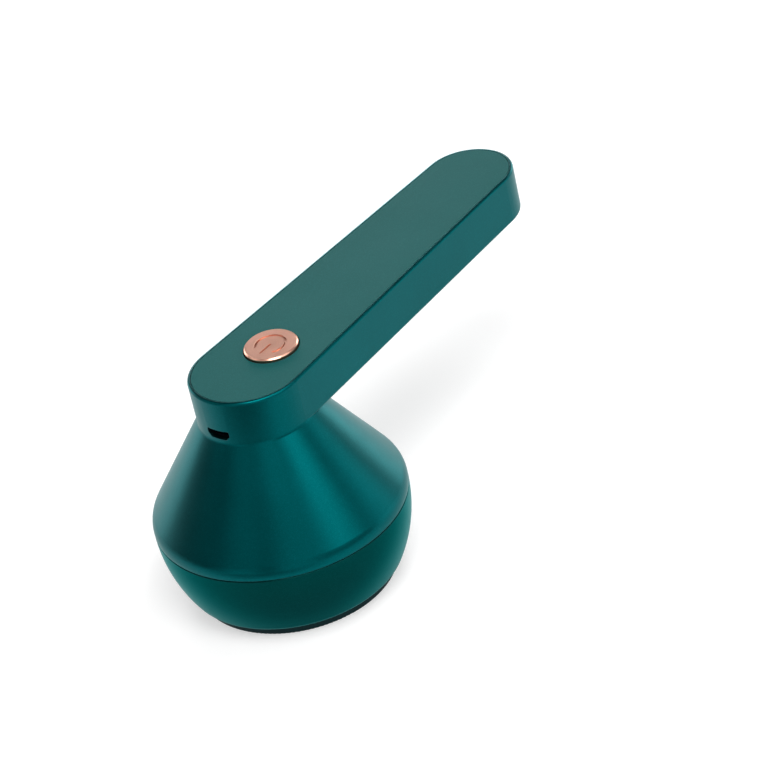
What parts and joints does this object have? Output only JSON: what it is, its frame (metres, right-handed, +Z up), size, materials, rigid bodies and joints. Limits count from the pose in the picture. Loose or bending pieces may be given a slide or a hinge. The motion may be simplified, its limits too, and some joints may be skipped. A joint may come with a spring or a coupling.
{
  "type": "fabric shaver",
  "caption": "Cordless fabric shaver with a bell-shaped head, a flat tapering handle, a round power button, a pull-off lint bin and a twist-off guard ring over a perforated foil.",
  "frame": {"origin": "centre of the guard ring's flat face, on the motor's axis, where the shaver stands", "axes": "+Z up along the motor's axis, +X along the handle from the head to the handle's tip"},
  "size_m": [0.1621, 0.076, 0.074],
  "materials": {
    "shell_paint": "satin pearl paint over moulded ABS",
    "lid_paint": "finer satin paint on a flat lid",
    "bin_plastic": "satin paint, smoke tinted",
    "ring_plastic": "dark glossy moulding",
    "rose_gold": "electroplated rose gold, spun",
    "foil_steel": "thin etched steel",
    "blade_steel": "ground spring steel",
    "black_plastic": "moulded, fine texture",
    "white_plastic": "moulded acetal",
    "motor_steel": "zinc plated, drawn",
    "plain_steel": "zinc plated",
    "bronze": "sintered, oil filled",
    "copper": "enamelled winding wire",
    "magnet": "ground ferrite",
    "core_steel": "stacked laminations, coated",
    "board_green": "solder mask over glass fibre",
    "chip_black": "moulded epoxy",
    "cell_wrap": "foil pouch, taped edges",
    "foam_tape": "double sided foam tape",
    "lead_wire": "insulated stranded wire"
  },
  "bodies": {
    "body": {"body_shell": "shell_paint", "top_cover": "lid_paint", "circuit_board": "board_green", "board_screws": "plain_steel", "board_components": "chip_black", "tact_switch": "chip_black", "usb_port": "plain_steel", "usb_tongue": "black_plastic", "battery_cell": "cell_wrap", "battery_tape": "foam_tape", "battery_leads": "lead_wire", "motor_mount": "black_plastic", "mount_screws": "plain_steel", "motor_can": "motor_steel", "motor_end_cap": "white_plastic", "motor_magnets": "magnet", "motor_bushings": "bronze", "motor_terminals": "bronze", "motor_screws": "plain_steel", "motor_leads": "lead_wire"},
    "button": {"button_cap": "rose_gold", "button_carrier": "black_plastic", "switch_plunger": "black_plastic"},
    "rotor": {"motor_shaft": "plain_steel", "armature_core": "core_steel", "armature_windings": "copper", "commutator": "copper", "drive_dog": "white_plastic"},
    "cutter": {"cutter_hub": "white_plastic", "blade_plate": "blade_steel", "blade_rivets": "plain_steel", "cutter_spring": "plain_steel"},
    "bin": {"lint_bin": "bin_plastic"},
    "foil_pack": {"foil": "foil_steel", "foil_frame": "black_plastic"},
    "ring": {"guard_ring": "ring_plastic"}
  },
  "joints": [
    {"name": "button_press", "type": "slide", "parent": "body", "child": "button", "axis": [0, 0, -1], "range_m": [0, 0.0005], "stiffness_N_per_m": 2500, "springref_m": -0.0001},
    {"name": "rotor_spin", "type": "hinge", "parent": "body", "child": "rotor", "pos_m": [0, 0, 0.03], "axis": [0, 0, 1], "continuous": true},
    {"name": "cutter_float", "type": "slide", "parent": "rotor", "child": "cutter", "axis": [0, 0, 1], "range_m": [0, 0.0008], "stiffness_N_per_m": 400, "springref_m": -0.0015, "deforming": ["cutter_spring"]},
    {"name": "bin_pull", "type": "slide", "parent": "body", "child": "bin", "axis": [0, 0, -1], "range_m": [0, 0.032]},
    {"name": "foil_drop", "type": "slide", "parent": "bin", "child": "foil_pack", "axis": [0, 0, -1], "range_m": [0, 0.006]},
    {"name": "ring_twist", "type": "hinge", "parent": "foil_pack", "child": "ring", "pos_m": [0, 0, 0.004], "axis": [0, 0, -1], "range_deg": [0, 60]}
  ],
  "couplings": [
    {"joint": "foil_drop", "follows": "ring_twist", "m_per_rad": 0.0057296}
  ]
}
